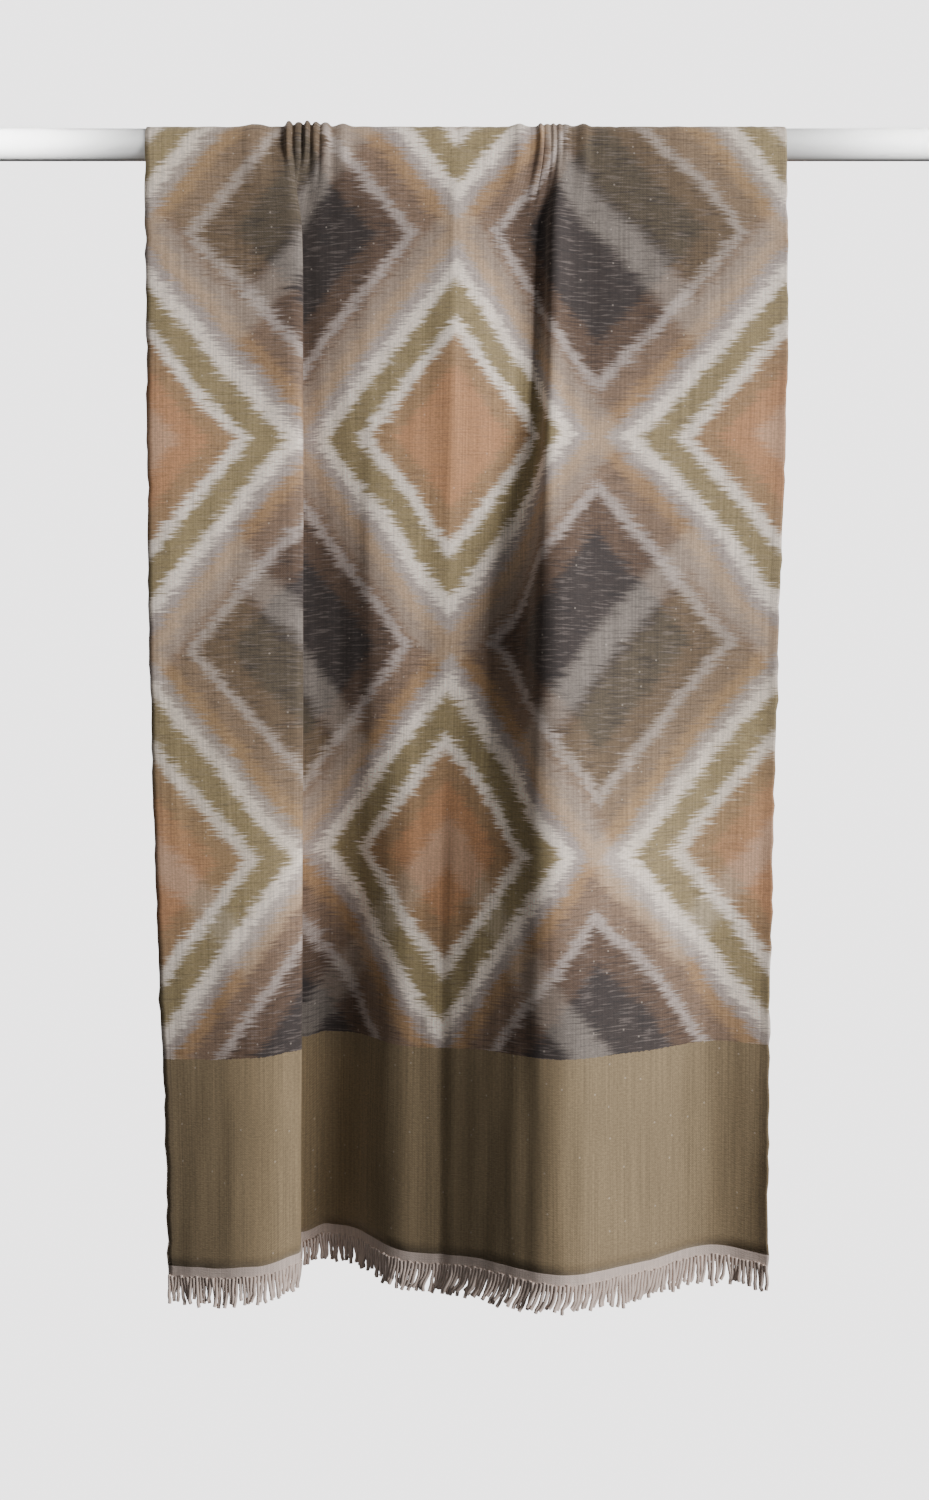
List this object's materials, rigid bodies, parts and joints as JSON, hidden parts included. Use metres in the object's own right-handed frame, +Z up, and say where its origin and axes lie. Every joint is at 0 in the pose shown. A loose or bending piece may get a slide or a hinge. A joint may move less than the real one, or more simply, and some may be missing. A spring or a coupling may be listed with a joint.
{
  "type": "pashmina shawl on a rod",
  "caption": "Soft wool shawl draped over a plain round rod, with gathered lengthwise folds, woven lozenge pattern, plain end bands and short fringes.",
  "frame": {"origin": "on the rod's axis at its middle, where the rod is held", "axes": "+X along the rod to the viewer's right, -Y the front that faces the viewer, +Z up"},
  "size_m": [1, 0.207, 1.1497],
  "materials": {
    "rod_paint": "white satin paint",
    "shawl_wool": "soft woven wool",
    "fringe_wool": "soft woven wool with loose strands"
  },
  "bodies": {
    "root": {"rod": "rod_paint", "shawl": "shawl_wool", "front_fringe": "fringe_wool", "back_fringe": "fringe_wool"}
  },
  "joints": []
}
